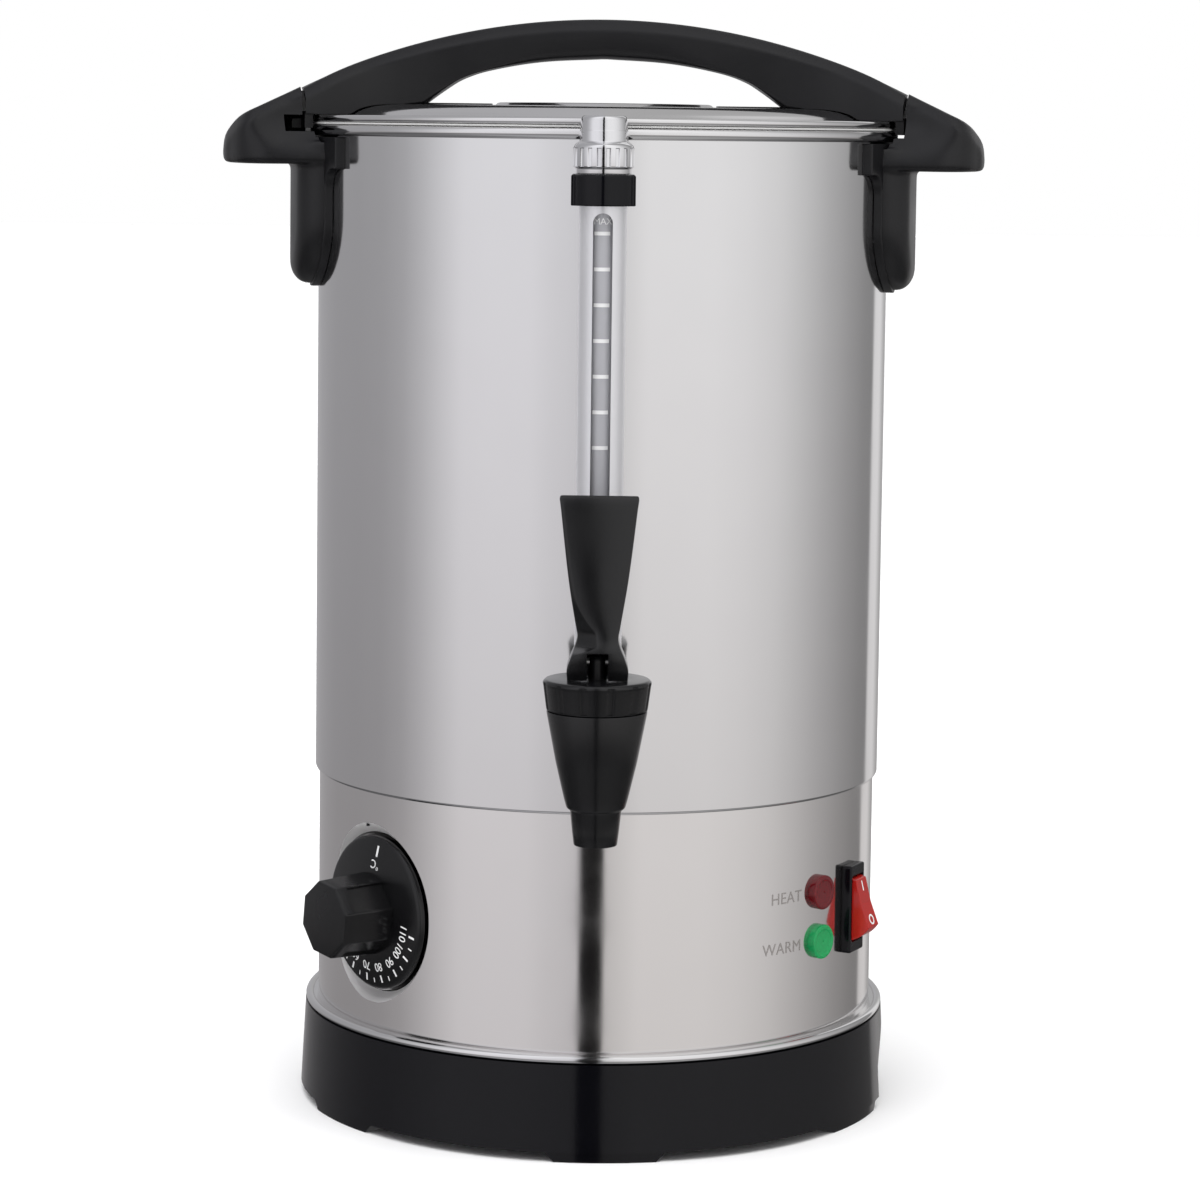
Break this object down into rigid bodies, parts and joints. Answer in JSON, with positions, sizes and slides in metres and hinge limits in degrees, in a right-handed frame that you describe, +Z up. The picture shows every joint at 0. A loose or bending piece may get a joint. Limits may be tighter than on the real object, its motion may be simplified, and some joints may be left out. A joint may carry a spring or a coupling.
{
  "type": "electric brew kettle",
  "caption": "Stainless electric brew kettle with twist-lock lid and bow handle, side handles, sight gauge, lever tap, thermostat dial, rocker switch and pilot lamps.",
  "frame": {"origin": "on the tank's axis, in the plane of the feet", "axes": "+Z up along the tank's axis, the tap faces -Y, the side handles lie along X"},
  "size_m": [0.2964, 0.2863, 0.419],
  "materials": {
    "polished_steel": "polished",
    "zinc_steel": "satin",
    "aluminium": "satin",
    "black_satin": "fine moulded grain",
    "black_gloss": "gloss",
    "grey_plastic": "satin",
    "cream_ceramic": "matt",
    "brass": "satin",
    "silicone": "translucent, matt",
    "lead_insulation": "satin",
    "clear_tube": "clear",
    "chromed_plastic": "chromed",
    "red_lens": "translucent",
    "green_lens": "translucent",
    "switch_red": "translucent"
  },
  "bodies": {
    "kettle": {"base_shell": "black_gloss", "base_screws": "zinc_steel", "base_trim_ring": "polished_steel", "lower_shell": "polished_steel", "tank": "polished_steel", "heat_plate": "aluminium", "heating_element": "zinc_steel", "thermal_cutout": "cream_ceramic", "thermostat_body": "cream_ceramic", "thermostat_screws": "zinc_steel", "thermostat_bulb": "zinc_steel", "bulb_clip": "zinc_steel", "terminal_block": "cream_ceramic", "earth_screw": "brass", "internal_leads": "lead_insulation", "mains_inlet": "black_satin", "inlet_pins": "brass", "inlet_screws": "zinc_steel", "switch_body": "black_gloss", "heat_lamp_lens": "red_lens", "warm_lamp_lens": "green_lens", "lamp_bodies": "grey_plastic", "tap_body": "black_satin", "tap_washer_outer": "silicone", "tap_washer_inner": "silicone", "tap_nut": "grey_plastic", "tap_bonnet": "black_satin", "tap_spring": "zinc_steel", "gauge_tube": "clear_tube", "gauge_sleeve": "silicone", "gauge_shield": "aluminium", "gauge_clip": "black_satin", "gauge_cap": "chromed_plastic", "handle_saddle_right": "black_satin", "handle_saddle_left": "black_satin", "side_handle_right": "black_satin", "side_handle_left": "black_satin", "handle_screws": "zinc_steel", "handle_screw_washers": "silicone"},
    "lid_seal": {"lid_seal": "silicone"},
    "lid": {"lid_pan": "polished_steel", "lid_skirt": "polished_steel", "lid_handle": "black_satin", "lid_handle_screws": "zinc_steel"},
    "dial": {"dial_knob": "black_gloss", "thermostat_shaft": "zinc_steel"},
    "rocker": {"switch_rocker": "switch_red"},
    "tap_stem": {"tap_stem": "black_satin", "tap_pin": "zinc_steel", "tap_seat_cup": "silicone"},
    "tap_lever": {"tap_lever": "black_satin"}
  },
  "joints": [
    {"name": "lid_lift", "type": "slide", "parent": "kettle", "child": "lid_seal", "axis": [0, 0, 1], "range_m": [0, 0.12]},
    {"name": "lid_twist", "type": "hinge", "parent": "lid_seal", "child": "lid", "pos_m": [0, 0, 0.3796], "axis": [0, 0, 1], "range_deg": [0, 34]},
    {"name": "tap_stem_lift", "type": "slide", "parent": "kettle", "child": "tap_stem", "axis": [0, 0, 1], "range_m": [0, 0.004], "stiffness_N_per_m": 200, "springref_m": -0.01, "deforming": ["tap_spring"]},
    {"name": "tap_lever_pull", "type": "hinge", "parent": "tap_stem", "child": "tap_lever", "pos_m": [0, -0.152, 0.1906], "axis": [1, 0, 0], "range_deg": [0, 80.5]},
    {"name": "thermostat_turn", "type": "hinge", "parent": "kettle", "child": "dial", "pos_m": [-0.08256, -0.06806, 0.0824], "axis": [-0.7716, -0.6361, 0], "range_deg": [0, 240]},
    {"name": "switch_rock", "type": "hinge", "parent": "kettle", "child": "rocker", "pos_m": [0.09693, -0.04854, 0.0827], "axis": [0.4478, 0.8942, 0], "range_deg": [0, 35]}
  ],
  "couplings": [
    {"joint": "tap_lever_pull", "follows": "tap_stem_lift", "rad_per_m": 349.07}
  ]
}
